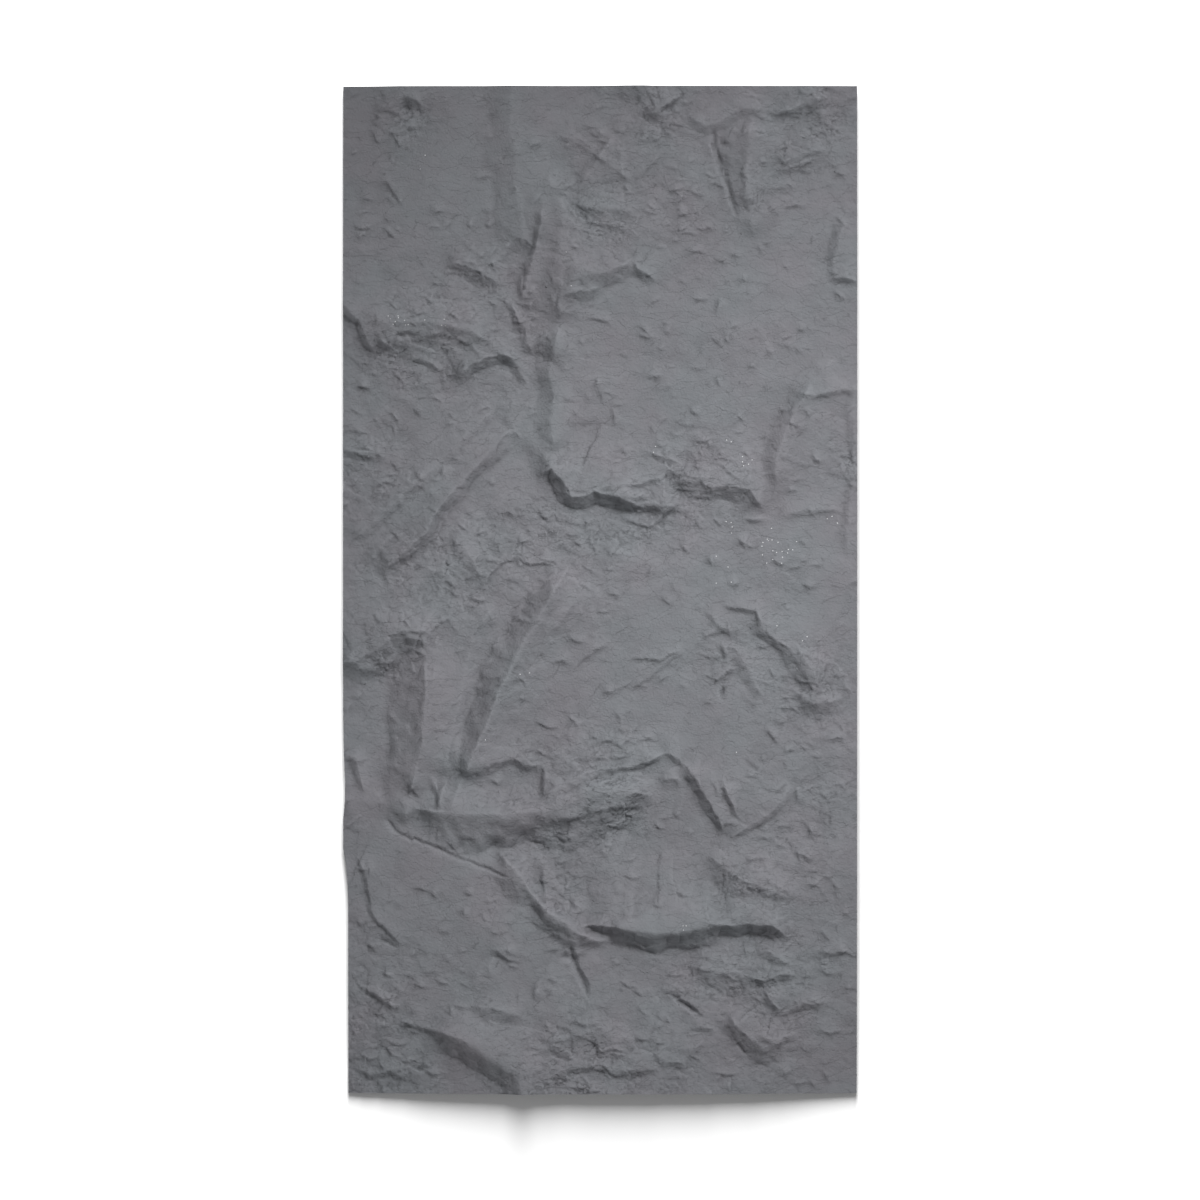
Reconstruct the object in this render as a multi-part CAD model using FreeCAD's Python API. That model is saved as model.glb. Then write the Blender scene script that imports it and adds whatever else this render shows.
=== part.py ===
import FreeCAD, Part
import math
import os

# Faux stone wall panel: one moulding of rigid foam with a rock face and a hollow back.
# Millimetres. It lies on its back: X is its width, Y its length and Z the way the rock face looks.
# Places on the face are measured from the panel's centre.

# Overall size
WIDTH = 600.0
LENGTH = 1176.0
# Left edge, hand trimmed: how far it comes in at each place along Y, straight above and below
LEFT_EDGE = [
    (-150, 0), (-198, 1.0), (-222, 2.3), (-245, 2.3), (-268, 0), (-303, 0), (-315, 2.3), (-338, 4.7), (-362, 5.8),
]

# Hollow back
SKIN = 12.0
RIM_WIDTH = 34.0
HOLLOW_CORNER = 20.0

# The rock face and the hollow's ceiling are smooth surfaces over grids of points with these pitches.
# They reach past the panel's outline on every side, so that its edges cut them cleanly.
FACE_PITCH = 26.0
CEILING_PITCH = 110.0
OVERREACH = 20.0
DEGREE = 3
# Deeper than the panel is high, for the blocks that are cut to its faces
BLOCK_DEPTH = 200.0
# A ledge dies out over this length at each end, farther from its edge over a longer one,
# and over half of itself if it is short
RUN_OUT = 18.0
# Big ledges that overlap blend into each other, the more sharply the higher LEDGE_BLEND is.
# Ledges that rise less than SMALL_RISE stand on top of the others.
LEDGE_BLEND = 1.6
SMALL_RISE = 12.5

# Broad ground without its ledges: heights at every GROUND_STEP_X and GROUND_STEP_Y,
# rows from the top edge down, each from the left edge to the right
GROUND_STEP_X = WIDTH / 6
GROUND_STEP_Y = LENGTH / 12
GROUND = [
    (16, 32, 28, 35, 36, 33, 28),
    (20, 35, 32, 36, 37, 36, 32),
    (23, 35, 28, 34, 38, 36, 32),
    (24, 34, 26, 33, 37, 37, 32),
    (18, 31, 25, 31, 35, 34, 30),
    (22, 33, 28, 26, 31, 33, 30),
    (22, 33, 30, 32, 35, 35, 30),
    (18, 28, 27, 34, 38, 35, 28),
    (15, 26, 26, 32, 36, 36, 28),
    (17, 27, 25, 24, 26, 28, 28),
    (16, 31, 32, 25, 25, 26, 25),
    (14, 29, 35, 32, 30, 28, 20),
    (5, 26, 35, 40, 38, 28, 6),
]

# Ledges: route, rise, brow, face. The high side is on the left hand when the route is walked.
# The rise fades out over the brow behind the route, and falls over the face in front of it.
LEDGES = [
    # Step up to the right of the upper left slab
    ([(-107, 620), (-103, 578), (-105, 540), (-98, 505), (-99, 470), (-92, 436), (-88, 400)], 8, 70, 24),
    # Broken ground along the top edge
    ([(176, 556), (172, 512), (168, 482), (173, 446), (178, 418)], 12, 60, 27),
    # Upper left slab over the middle left slab
    ([(-316, 356), (-294, 340), (-279, 320), (-268, 300), (-258, 276)], 11, 60, 20),
    ([(-258, 274), (-250, 296), (-243, 311), (-225, 314), (-200, 313), (-178, 309), (-150, 302), (-126, 286)],
     12, 90, 24),
    ([(-170, 247), (-152, 262), (-136, 272), (-112, 275), (-99, 265), (-87, 240)], 11, 40, 20),
    # Big upper right slab: its left side
    ([(-52, 490), (-51, 450), (-46, 420), (-47, 380), (-46, 345), (-53, 305)], 21, 110, 36),
    ([(-50, 340), (-56, 300), (-58, 250), (-55, 205), (-54, 170), (-50, 136)], 10, 110, 20),
    # Big upper right slab: its own small ledges
    ([(-40, 356), (-24, 369), (8, 371), (24, 378), (39, 389)], 12.4, 30, 20),
    # Big upper right slab: its lower edge
    ([(-74, 130), (-57, 142), (-46, 131), (-32, 110), (-20, 113), (0, 115), (20, 111), (46, 103), (72, 98), (98, 96)],
     21, 90, 20),
    ([(80, 128), (105, 125), (130, 121), (155, 122), (174, 117), (184, 101), (191, 88)], 15, 65, 20),
    # Slab at the right edge
    ([(268, 262), (243, 236), (226, 206), (213, 180), (206, 150), (204, 106)], 10, 60, 20),
    # Middle left slab
    ([(-256, 16), (-240, 36), (-206, 64), (-192, 88), (-176, 110), (-151, 138), (-126, 163), (-102, 190)],
     10, 60, 20),
    # High left shoulder, its drop to the low column, and the fin beside it
    ([(-314, -90), (-286, -82), (-262, -70), (-246, -56), (-230, -47), (-208, -48), (-188, -60)], 16, 80, 28),
    ([(-206, -50), (-203, -100), (-204, -140), (-208, -180), (-214, -216), (-204, -248)], 24, 55, 42),
    ([(-40, 22), (-54, -2), (-76, -40), (-97, -76), (-116, -116), (-130, -152), (-147, -190), (-160, -224)],
     21, 45, 32),
    # Lower edge of the middle slab
    ([(-70, -240), (-40, -228), (-16, -214), (8, -207), (38, -205), (62, -197), (77, -187)], 9, 50, 20),
    ([(94, -198), (112, -220), (128, -246), (137, -264), (147, -288)], 14, 80, 20),
    ([(-206, -252), (-160, -260), (-110, -262), (-66, -256), (-20, -240), (30, -234), (70, -240)], 23, 36, 42),
    # Chain of ledges at the right
    ([(138, -16), (160, -21), (180, -25), (190, -44), (204, -56), (220, -66), (232, -86), (243, -106), (254, -122)],
     12, 55, 20),
    ([(226, -112), (238, -126), (256, -131), (286, -126)], 10, 26, 20),
    # Groove round the lower left dome, and the dome on its near side
    ([(-150, -290), (-112, -306), (-92, -330), (-78, -352), (-56, -374), (-20, -390)], 14, 22, 24),
    ([(-18, -414), (-44, -404), (-70, -388), (-92, -368), (-106, -334), (-130, -322), (-182, -303), (-213, -289),
      (-228, -270), (-242, -250), (-316, -246)], 7, 130, 30),
    # Deep ledge under the lower slab
    ([(-26, -390), (0, -392), (35, -394), (65, -400), (95, -398), (125, -391), (150, -391), (172, -388),
      (200, -391), (222, -406)], 26, 110, 20),
    ([(122, -304), (146, -326), (166, -338), (190, -346), (226, -362)], 8, 60, 20),
    # Bottom right
    ([(148, -490), (158, -508), (176, -522), (192, -533), (222, -526)], 12, 45, 20),
    # Bottom left
    ([(-222, -510), (-190, -514), (-166, -521), (-132, -541), (-98, -563), (-90, -590), (-88, -612)], 19, 70, 23),
]


def smooth_step(t):
    t = min(max(t, 0.0), 1.0)
    return t * t * (3.0 - 2.0 * t)


def nearest_on_route(route, x, y):
    # Distance to the route, which side the point is on (positive is left), how far along, and length
    nearest = (math.inf, 0.0, 0.0)
    walked = 0.0
    for (x0, y0), (x1, y1) in zip(route, route[1:]):
        dx, dy = x1 - x0, y1 - y0
        length = math.hypot(dx, dy)
        t = ((x - x0) * dx + (y - y0) * dy) / length ** 2
        t = min(max(t, 0.0), 1.0)
        distance = math.hypot(x - x0 - t * dx, y - y0 - t * dy)
        if distance < nearest[0]:
            side = dx * (y - y0) - dy * (x - x0)
            nearest = (distance, side, walked + t * length)
        walked += length
    return nearest + (walked,)


def strength_along(distance, along, length):
    end = min(RUN_OUT + distance, length / 2.0)
    return smooth_step(along / end) * smooth_step((length - along) / end)


def ledge_height(x, y, route, rise, brow, face):
    distance, side, along, length = nearest_on_route(route, x, y)
    if side >= 0:
        share = max(0.0, 1.0 - distance / brow) ** 1.5
    else:
        share = max(0.0, 1.0 - distance / face)
    return rise * share * strength_along(distance, along, length)


def spline_weights(t):
    return (
        (1.0 - t) ** 3 / 6.0,
        (3.0 * t ** 3 - 6.0 * t ** 2 + 4.0) / 6.0,
        (-3.0 * t ** 3 + 3.0 * t ** 2 + 3.0 * t + 1.0) / 6.0,
        t ** 3 / 6.0,
    )


def ground_height(x, y):
    # The heights of the sixteen nearest places, blended smoothly
    across = (x + WIDTH / 2) / GROUND_STEP_X
    down = (LENGTH / 2 - y) / GROUND_STEP_Y
    column, row = math.floor(across), math.floor(down)
    z = 0.0
    for j, share_down in enumerate(spline_weights(down - row), start=row - 1):
        heights = GROUND[min(max(j, 0), len(GROUND) - 1)]
        for i, share_across in enumerate(spline_weights(across - column), start=column - 1):
            z += share_down * share_across * heights[min(max(i, 0), len(heights) - 1)]
    return z


def rock_height(x, y):
    z = ground_height(x, y)
    blended = 0.0
    for route, rise, brow, face in LEDGES:
        height = ledge_height(x, y, route, rise, brow, face)
        if rise < SMALL_RISE:
            z += height
        else:
            blended += height ** LEDGE_BLEND
    return z + blended ** (1.0 / LEDGE_BLEND)


def even_knots(count):
    # Knots and their multiplicities for a curve over this many points, clamped at both ends
    spans = count - DEGREE
    ends = [DEGREE + 1]
    return [float(k) for k in range(spans + 1)], ends + [1] * (spans - 1) + ends


def block_under(height, pitch):
    # Everything below a smooth surface whose height is given by a function of x and y
    reach_x = WIDTH + 2 * OVERREACH
    reach_y = LENGTH + 2 * OVERREACH
    count_x = round(reach_x / pitch)
    count_y = round(reach_y / pitch)
    columns = []
    for i in range(count_x + 1):
        x = (i / count_x - 0.5) * reach_x
        ys = [(j / count_y - 0.5) * reach_y for j in range(count_y + 1)]
        columns.append([FreeCAD.Vector(x, y, height(x, y)) for y in ys])
    knots_x, counts_x = even_knots(count_x + 1)
    knots_y, counts_y = even_knots(count_y + 1)
    surface = Part.BSplineSurface()
    surface.buildFromPolesMultsKnots(
        columns, counts_x, counts_y, knots_x, knots_y, False, False, DEGREE, DEGREE)
    return surface.toShape().extrude(FreeCAD.Vector(0, 0, -BLOCK_DEPTH))


def outline_block():
    # Straight on three sides; the left edge wanders where it was trimmed
    left, right = -WIDTH / 2, WIDTH / 2
    bottom, top = -LENGTH / 2, LENGTH / 2
    corners = [(left, top)]
    corners += [(left + inset, y) for y, inset in LEFT_EDGE]
    corners += [(left + LEFT_EDGE[-1][1], bottom), (right, bottom), (right, top), (left, top)]
    outline = Part.makePolygon([FreeCAD.Vector(x, y, 0) for x, y in corners])
    return Part.Face(outline).extrude(FreeCAD.Vector(0, 0, BLOCK_DEPTH))


def ceiling_height(x, y):
    return ground_height(x, y) - SKIN


def hollow_block():
    # The back is hollow inside a flat rim, and its ceiling follows the broad ground
    width = WIDTH - 2 * RIM_WIDTH
    length = LENGTH - 2 * RIM_WIDTH
    start = FreeCAD.Vector(-width / 2, -length / 2, -BLOCK_DEPTH / 2)
    block = Part.makeBox(width, length, BLOCK_DEPTH, start)
    upright = [edge for edge in block.Edges if edge.BoundBox.ZLength > BLOCK_DEPTH / 2]
    block = block.makeFillet(HOLLOW_CORNER, upright)
    return block.common(block_under(ceiling_height, CEILING_PITCH))


def stone_panel():
    body = outline_block().common(block_under(rock_height, FACE_PITCH))
    return body.cut(hollow_block())


os.makedirs("parts", exist_ok=True)
stone_panel().Solids[0].exportStep("parts/stone_panel.step")
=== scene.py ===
import math

import bpy
import numpy as np
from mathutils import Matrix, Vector


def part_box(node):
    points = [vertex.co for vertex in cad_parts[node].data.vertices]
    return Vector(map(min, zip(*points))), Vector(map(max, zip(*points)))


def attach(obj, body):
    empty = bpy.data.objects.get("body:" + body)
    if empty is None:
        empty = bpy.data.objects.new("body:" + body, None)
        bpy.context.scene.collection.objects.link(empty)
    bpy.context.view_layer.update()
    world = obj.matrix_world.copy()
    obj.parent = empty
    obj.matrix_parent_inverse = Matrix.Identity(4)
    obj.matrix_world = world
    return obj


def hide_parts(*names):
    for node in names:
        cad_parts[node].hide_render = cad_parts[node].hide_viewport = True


# Faux stone wall panel lying on its back, seen from straight above.
# The rock relief is worked out in millimetres from the panel's centre.
# X is the panel's width, Y its length and Z the way the rock face looks.
MM = 0.001

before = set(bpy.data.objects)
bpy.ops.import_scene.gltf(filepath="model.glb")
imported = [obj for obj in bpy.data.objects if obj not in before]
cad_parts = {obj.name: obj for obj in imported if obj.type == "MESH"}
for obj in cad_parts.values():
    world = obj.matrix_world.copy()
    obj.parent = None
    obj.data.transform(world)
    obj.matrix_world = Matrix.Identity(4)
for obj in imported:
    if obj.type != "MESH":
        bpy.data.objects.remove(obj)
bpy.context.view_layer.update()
lowest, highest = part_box("stone_panel")
WIDTH = (highest.x - lowest.x) / MM
LENGTH = (highest.y - lowest.y) / MM
TOP = highest.z / MM

# The view, in metres: its width at half the panel's thickness, its middle along Y, the eye's height
FRAME_WIDTH = 1.4008
FRAME_CENTRE_Y = -0.0117
CAMERA_HEIGHT = 9.0
# Floor, in metres: its width, and how far it is below the panel, so that the two don't touch
FLOOR_SIZE = 12.0
FLOOR_DROP = 0.0005
# How light a grey the floor is where it is looked at, and for the light that it throws back
FLOOR_SEEN = 0.75
FLOOR_UNSEEN = 0.35
# Strength of the even light from all round
ROOM_LIGHT = 0.38

# Left edge, hand trimmed: how far it comes in at each place along Y
LEFT_EDGE = [
    (-150, 0), (-198, 1.0), (-222, 2.3), (-245, 2.3), (-268, 0), (-303, 0), (-315, 2.3),
    (-338, 4.7), (-362, 5.8),
]
# Hollow back: the foam over it, the flat rim round it, and the pitch of its points
SKIN = 12.0
RIM_WIDTH = 34.0
BACK_PITCH = 12.0
# Pitch of the points on the rock face, and the triangles that are left when its flat parts are thinned
FACE_PITCH = 1.3
FACE_TRIANGLES = 197000
# A ledge or crack dies out over RUN_OUT at each end, or over RUN_OUT_RATIO times its rise if that is
# more. Farther from its edge it dies out over a longer way, and over half of itself if it is short.
RUN_OUT = 18.0
RUN_OUT_RATIO = 1.4
# Big ledges that overlap blend into each other, the more sharply the higher LEDGE_BLEND is.
# Ledges that rise less than SMALL_RISE stand on top of the others.
LEDGE_BLEND = 1.6
SMALL_RISE = 12.5
# The highest crests level off within this much of the panel's full thickness
HIGHEST_BAND = 5.0
# Lines in the stone stray slowly from their routes by about WANDER, and never by MOST_STRAY
WANDER = 1.6
MOST_STRAY = 8.0
# Gentle rise and fall of the whole face
UNDULATION = 0.7
# Thickness of the thin flakes on the slabs and of the layers in steep faces, and how far these show
FLAKE = 2.4
LAYER = 4.5
LAYERS_SHOW = 0.12
# A face is steep from the first of these slopes on, and fully so from the second. Facets are weaker
# there by this share.
STEEP_FROM = 0.5
STEEP_TO = 0.9
STEEP_CALM = 0.6
# Flakes show where the stone is rougher than this
FLAKES_FROM = 0.15
# A ledge's face is wider or narrower than stated by this share from place to place
UNEVEN_FACES = 0.3
# Flat facets of the stone in three sizes: their strength everywhere and what roughness adds to it.
# They are longer along the grain, which runs this many degrees from X.
LARGE_FACETS = {
    "everywhere": 0.15, "where_rough": 1.0, "grain": -25.0, "stretch": 1.5,
    "size": 58.0, "tilt": 0.03, "seed": 61, "crispness": 5.0,
}
MEDIUM_FACETS = {
    "everywhere": 0.03, "where_rough": 0.8, "grain": -30.0, "stretch": 1.6,
    "size": 21.0, "tilt": 0.06, "seed": 63, "crispness": 14.0,
}
SMALL_FACETS = {
    "everywhere": 0.0, "where_rough": 0.45, "grain": -20.0, "stretch": 1.8,
    "size": 11.0, "tilt": 0.14, "seed": 67, "crispness": 14.0,
}
# The same random hills and facets come back after this many of them
REPEAT = 128
# A point this far below the mean of those up to HOLLOW_REACH points away is in the bottom of a step
HOLLOW_DEPTH = 0.8
HOLLOW_REACH = 2

# Broad ground without its ledges, rows from the top edge down, each from left to right
GROUND = [
    (16, 32, 28, 35, 36, 33, 28),
    (20, 35, 32, 36, 37, 36, 32),
    (23, 35, 28, 34, 38, 36, 32),
    (24, 34, 26, 33, 37, 37, 32),
    (18, 31, 25, 31, 35, 34, 30),
    (22, 33, 28, 26, 31, 33, 30),
    (22, 33, 30, 32, 35, 35, 30),
    (18, 28, 27, 34, 38, 35, 28),
    (15, 26, 26, 32, 36, 36, 28),
    (17, 27, 25, 24, 26, 28, 28),
    (16, 31, 32, 25, 25, 26, 25),
    (14, 29, 35, 32, 30, 28, 20),
    (5, 26, 35, 40, 38, 28, 6),
]

# Ledges: route, rise, brow, face. The high side is on the left hand when the route is walked.
# The rise fades out over the brow behind the route, and falls over the face in front of it.
LEDGES = [
    # Step up to the right of the upper left slab
    ([(-107, 620), (-103, 578), (-105, 540), (-98, 505), (-99, 470), (-92, 436),
      (-92, 390)], 8, 70, 30),
    # Broken ground along the top edge
    ([(-268, 560), (-246, 566), (-232, 577), (-215, 573), (-202, 558)], 7, 30, 14),
    ([(-246, 528), (-226, 540), (-204, 547)], 3, 20, 5),
    ([(-268, 471), (-250, 477), (-238, 462), (-226, 444)], 2.5, 20, 3),
    ([(17, 533), (3, 510), (-10, 490), (-28, 464)], 5, 30, 9),
    ([(30, 474), (26, 500), (20, 528)], 3, 20, 8),
    ([(42, 472), (22, 488), (5, 500), (-10, 512), (-30, 525), (-54, 535)], 4, 40, 12),
    ([(34, 474), (50, 488), (62, 498), (70, 513)], 2, 12, 3),
    ([(8, 600), (40, 588), (70, 588)], 6, 20, 20),
    ([(46, 553), (66, 557), (80, 568), (96, 581)], 10, 35, 11),
    ([(98, 556), (124, 541), (140, 546), (164, 562), (200, 560)], 5, 30, 10),
    # Trough under the top edge's right half, and small ledges beside it
    ([(178, 556), (175, 512), (171, 482), (175, 446), (180, 408)], 6, 60, 33),
    ([(174, 548), (172, 512), (170, 482), (173, 440)], 6, 60, 32),
    ([(178, 500), (166, 488), (171, 470), (165, 450)], 3, 14, 4),
    ([(200, 553), (225, 561), (246, 573), (270, 574)], 7, 30, 15),
    ([(204, 512), (213, 500), (236, 508), (264, 514)], 4, 30, 5),
    ([(203, 484), (226, 496), (252, 503)], 3, 20, 4),
    # At the right edge, above its slab
    ([(288, 436), (278, 408), (272, 386), (270, 368)], 5, 30, 9),
    ([(264, 364), (282, 364), (308, 359)], 6, 30, 7),
    # Above the big upper right slab
    ([(-34, 450), (0, 447), (22, 445), (42, 440)], 7, 30, 22),
    ([(-22, 432), (6, 426), (30, 424)], 3, 18, 6),
    # Rough ledge in the upper left slab
    ([(-182, 385), (-164, 380), (-150, 374), (-132, 368), (-112, 357)], 7, 34, 13),
    ([(-140, 374), (-124, 383), (-110, 398), (-102, 414)], 4, 26, 8),
    # Upper left slab over the middle left slab
    ([(-316, 350), (-296, 330), (-280, 314), (-272, 292), (-260, 272)], 8, 60, 8),
    ([(-306, 330), (-290, 322), (-276, 312)], 4, 20, 10),
    ([(-258, 274), (-250, 296), (-243, 311), (-225, 314), (-200, 313), (-178, 309), (-150, 302),
      (-126, 286)], 12, 90, 24),
    ([(-246, 282), (-232, 292), (-206, 294), (-180, 288), (-156, 276)], 5, 30, 22),
    ([(-262, 296), (-247, 284), (-240, 300), (-228, 303), (-196, 300)], 3, 16, 5),
    ([(-224, 263), (-214, 270), (-203, 269), (-182, 252)], 4, 26, 5),
    ([(-172, 244), (-154, 260), (-136, 270), (-112, 275), (-92, 268)], 11, 40, 12),
    ([(-120, 276), (-99, 265), (-82, 234)], 5, 40, 9),
    ([(-176, 236), (-160, 246), (-146, 256)], 4, 18, 6),
    # Big upper right slab: its left side
    ([(-60, 490), (-52, 452), (-46, 424), (-47, 384), (-46, 345), (-47, 310)], 7, 110, 42),
    ([(-44, 462), (-46, 424), (-47, 384), (-46, 345), (-48, 312), (-54, 262)], 7, 110, 44),
    ([(-47, 310), (-56, 276), (-59, 250), (-54, 224), (-58, 196), (-55, 160)], 8, 110, 16),
    ([(-66, 452), (-70, 424), (-75, 396), (-84, 366), (-92, 330)], 5, 20, 7),
    ([(-107, 342), (-98, 320), (-88, 302), (-76, 270)], 5, 24, 8),
    # Big upper right slab: its own small ledges
    ([(-40, 356), (-24, 369), (8, 371), (24, 378), (39, 389)], 12, 30, 16),
    ([(34, 390), (44, 374), (70, 358)], 8, 35, 9),
    ([(-50, 338), (-32, 349), (-14, 349), (8, 356)], 8, 22, 11),
    # Big upper right slab: its lower edge
    ([(-76, 128), (-57, 142), (-46, 131), (-32, 109), (-20, 109), (-8, 116), (10, 112), (32, 104),
      (54, 98)], 17, 90, 15),
    ([(4, 116), (30, 110), (52, 103), (74, 98), (98, 99)], 8, 80, 12),
    ([(24, 109), (44, 109), (64, 106)], 3.5, 12, 4),
    ([(28, 101), (50, 97), (74, 96)], 3.5, 10, 4),
    ([(-12, 118), (12, 122), (32, 124), (46, 123), (58, 130), (80, 128)], 3.5, 16, 4),
    ([(54, 71), (68, 81), (78, 92), (92, 97)], 3, 14, 4),
    ([(50, 162), (70, 155), (98, 148)], 5, 30, 6),
    ([(70, 148), (88, 137), (112, 131), (134, 134)], 5, 20, 8),
    ([(80, 128), (105, 125), (130, 121), (155, 122), (174, 117), (184, 101),
      (191, 88)], 12, 65, 17),
    ([(160, 84), (178, 81), (200, 83)], 4, 18, 4),
    # Slab at the right edge
    ([(276, 274), (243, 236), (226, 206), (213, 180), (206, 150), (204, 106)], 5, 60, 16),
    ([(246, 240), (226, 206), (213, 180), (206, 150), (204, 120)], 5, 60, 18),
    ([(224, 232), (250, 227), (276, 233), (306, 236)], 4, 24, 6),
    ([(301, 250), (293, 204), (299, 150), (291, 96), (288, 36)], 3, 30, 8),
    ([(204, 86), (230, 92), (262, 94), (286, 91)], 3, 30, 6),
    # Middle left slab
    ([(-256, 16), (-240, 36), (-206, 64), (-192, 88), (-176, 110), (-151, 138), (-126, 163),
      (-102, 190)], 10, 60, 14),
    ([(-272, 24), (-262, 44), (-248, 60), (-236, 66)], 3, 20, 6),
    ([(-292, 54), (-244, 98), (-200, 138), (-160, 176), (-122, 212)], 5, 40, 8),
    ([(-244, 30), (-206, 62), (-190, 92), (-166, 124)], 4, 40, 9),
    ([(-312, 166), (-286, 162), (-262, 161), (-244, 150)], 6, 40, 9),
    ([(-306, 186), (-284, 188), (-264, 181)], 3, 24, 5),
    ([(-176, 62), (-160, 52), (-148, 32), (-136, 12)], 4.5, 30, 18),
    ([(-142, -4), (-130, 16), (-118, 32), (-92, 42)], 3, 22, 4),
    ([(-88, 170), (-108, 200), (-98, 226), (-80, 244)], 5, 30, 26),
    # High left shoulder, its drop to the low column, and the fin beside it
    ([(-314, -90), (-286, -82), (-262, -70), (-246, -56), (-230, -47), (-208, -48),
      (-188, -60)], 16, 80, 28),
    ([(-238, -62), (-226, -56), (-204, -60), (-192, -72)], 5, 16, 7),
    ([(-206, -50), (-203, -100), (-204, -140), (-208, -180), (-215, -216),
      (-222, -242)], 10, 55, 42),
    ([(-204, -82), (-203, -110), (-204, -140), (-208, -180), (-215, -216),
      (-230, -276)], 10, 55, 40),
    ([(-184, -222), (-172, -170), (-163, -130), (-157, -92), (-149, -52), (-120, -16)], 5, 40, 12),
    ([(-34, 32), (-54, -2), (-76, -40), (-97, -76), (-116, -116), (-130, -152), (-147, -190),
      (-160, -222)], 11, 45, 26),
    ([(-44, 14), (-76, -40), (-97, -76), (-116, -116), (-130, -152), (-147, -190),
      (-178, -262)], 11, 45, 27),
    ([(-34, 24), (-22, -4), (-40, -28), (-60, -54)], 4, 30, 12),
    ([(-196, -214), (-190, -236), (-184, -258)], 5, 16, 7),
    ([(-178, -218), (-186, -240), (-190, -258)], 4, 14, 6),
    # Lower edge of the middle slab, and the side of the valley below it
    ([(-160, -218), (-138, -208), (-116, -200), (-100, -195), (-88, -204), (-64, -203)], 5, 34, 9),
    ([(-66, -200), (-64, -222), (-66, -246)], 5, 30, 5),
    ([(-70, -240), (-40, -228), (-16, -214), (8, -207), (38, -205), (62, -197),
      (77, -187)], 7, 50, 6),
    ([(-60, -252), (-34, -240), (-6, -230), (20, -216), (50, -214)], 5, 16, 6),
    ([(-26, -204), (-4, -194), (22, -194), (44, -186)], 3, 16, 4),
    ([(68, -191), (82, -191), (104, -206)], 5, 40, 5),
    ([(-40, -100), (-22, -82), (-6, -70), (14, -58)], 2.5, 24, 3),
    ([(30, -120), (58, -100), (80, -82), (104, -66)], 2.5, 24, 3),
    ([(94, -198), (112, -220), (128, -246), (137, -264), (147, -288)], 9.5, 80, 11),
    ([(66, -226), (84, -219), (104, -217)], 6, 16, 12),
    ([(140, -216), (151, -241), (164, -270)], 6, 24, 5),
    ([(148, -291), (170, -277), (196, -262), (226, -226)], 5, 30, 6),
    ([(-226, -254), (-196, -256), (-160, -262), (-110, -262), (-66, -256), (-20, -240),
      (30, -234), (70, -240)], 27, 36, 46),
    ([(-60, -266), (-20, -262), (20, -252), (60, -248)], 3, 16, 5),
    # Chain of ledges at the right
    ([(138, -16), (160, -21), (180, -25), (194, -46)], 4.5, 30, 4),
    ([(176, -26), (190, -44), (204, -56), (220, -66), (232, -86), (243, -106),
      (254, -124)], 8, 55, 12),
    ([(226, -60), (242, -86), (252, -108), (264, -122)], 6, 28, 9),
    ([(226, -112), (238, -126), (256, -131), (286, -126)], 8, 26, 20),
    ([(150, -58), (164, -78), (176, -100), (192, -128)], 5, 30, 12),
    ([(140, -56), (147, -76), (150, -92)], 4, 14, 4),
    ([(128, -112), (138, -102), (150, -92), (166, -92)], 4, 18, 5),
    ([(120, -18), (136, -38), (160, -54)], 3, 24, 5),
    # Groove round the lower left dome, the dome's own edge, and small ledges on the dome
    ([(-122, -302), (-94, -330), (-80, -354), (-56, -378), (-26, -400), (0, -410)], 14, 16, 24),
    ([(-78, -358), (-58, -378), (-30, -392), (-4, -392)], 8, 30, 14),
    ([(-18, -414), (-44, -404), (-70, -388), (-92, -368), (-98, -345), (-106, -334), (-130, -322),
      (-160, -315), (-182, -303), (-213, -289), (-228, -270), (-242, -250), (-280, -246),
      (-316, -246)], 7, 130, 30),
    ([(-288, -310), (-275, -328), (-272, -350), (-266, -376), (-250, -396),
      (-228, -416)], 4, 45, 4),
    ([(-304, -190), (-286, -196), (-280, -222), (-276, -242)], 5, 20, 8),
    # Ground left of the lower slab
    ([(-64, -318), (-66, -340), (-62, -356), (-42, -364)], 4, 20, 5),
    ([(-38, -352), (-30, -364), (-16, -380)], 4, 20, 6),
    # Deep ledge under the lower slab
    ([(-22, -391), (0, -392), (24, -394), (50, -398)], 15, 110, 9),
    ([(0, -392), (35, -394), (65, -400), (95, -398), (125, -391), (160, -390)], 26, 110, 22),
    ([(118, -392), (150, -391), (172, -388), (200, -391), (226, -408)], 19, 110, 13),
    # Ground right of the lower slab
    ([(122, -304), (146, -326), (166, -338), (190, -346), (226, -362)], 8, 60, 20),
    ([(186, -336), (206, -343), (228, -358)], 3, 24, 5),
    ([(222, -302), (238, -310), (256, -320)], 4, 26, 5),
    # Bottom right
    ([(100, -436), (122, -442), (148, -448), (168, -458)], 8, 40, 16),
    ([(184, -414), (202, -426), (226, -440)], 6, 30, 8),
    ([(166, -452), (190, -455), (214, -448), (236, -450)], 6.5, 30, 7),
    ([(190, -458), (196, -474), (206, -486), (214, -498)], 8, 26, 10),
    ([(214, -494), (236, -484), (270, -480)], 4, 24, 7),
    ([(148, -490), (158, -508), (176, -522), (192, -533), (222, -526)], 12, 45, 17),
    ([(176, -514), (200, -524), (236, -518)], 5, 20, 8),
    ([(56, -532), (76, -549), (96, -552), (106, -538), (124, -522)], 4, 36, 7),
    # Bottom middle
    ([(-26, -416), (-8, -408), (16, -410)], 7, 16, 10),
    ([(-46, -420), (-30, -424), (-14, -418)], 5, 16, 8),
    ([(-72, -542), (-46, -524), (-16, -515), (14, -519), (44, -524)], 6, 30, 20),
    ([(-64, -568), (-32, -557), (0, -553), (30, -561), (72, -556)], 5, 24, 9),
    ([(-10, -536), (16, -540), (40, -546)], 5, 20, 8),
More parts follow.
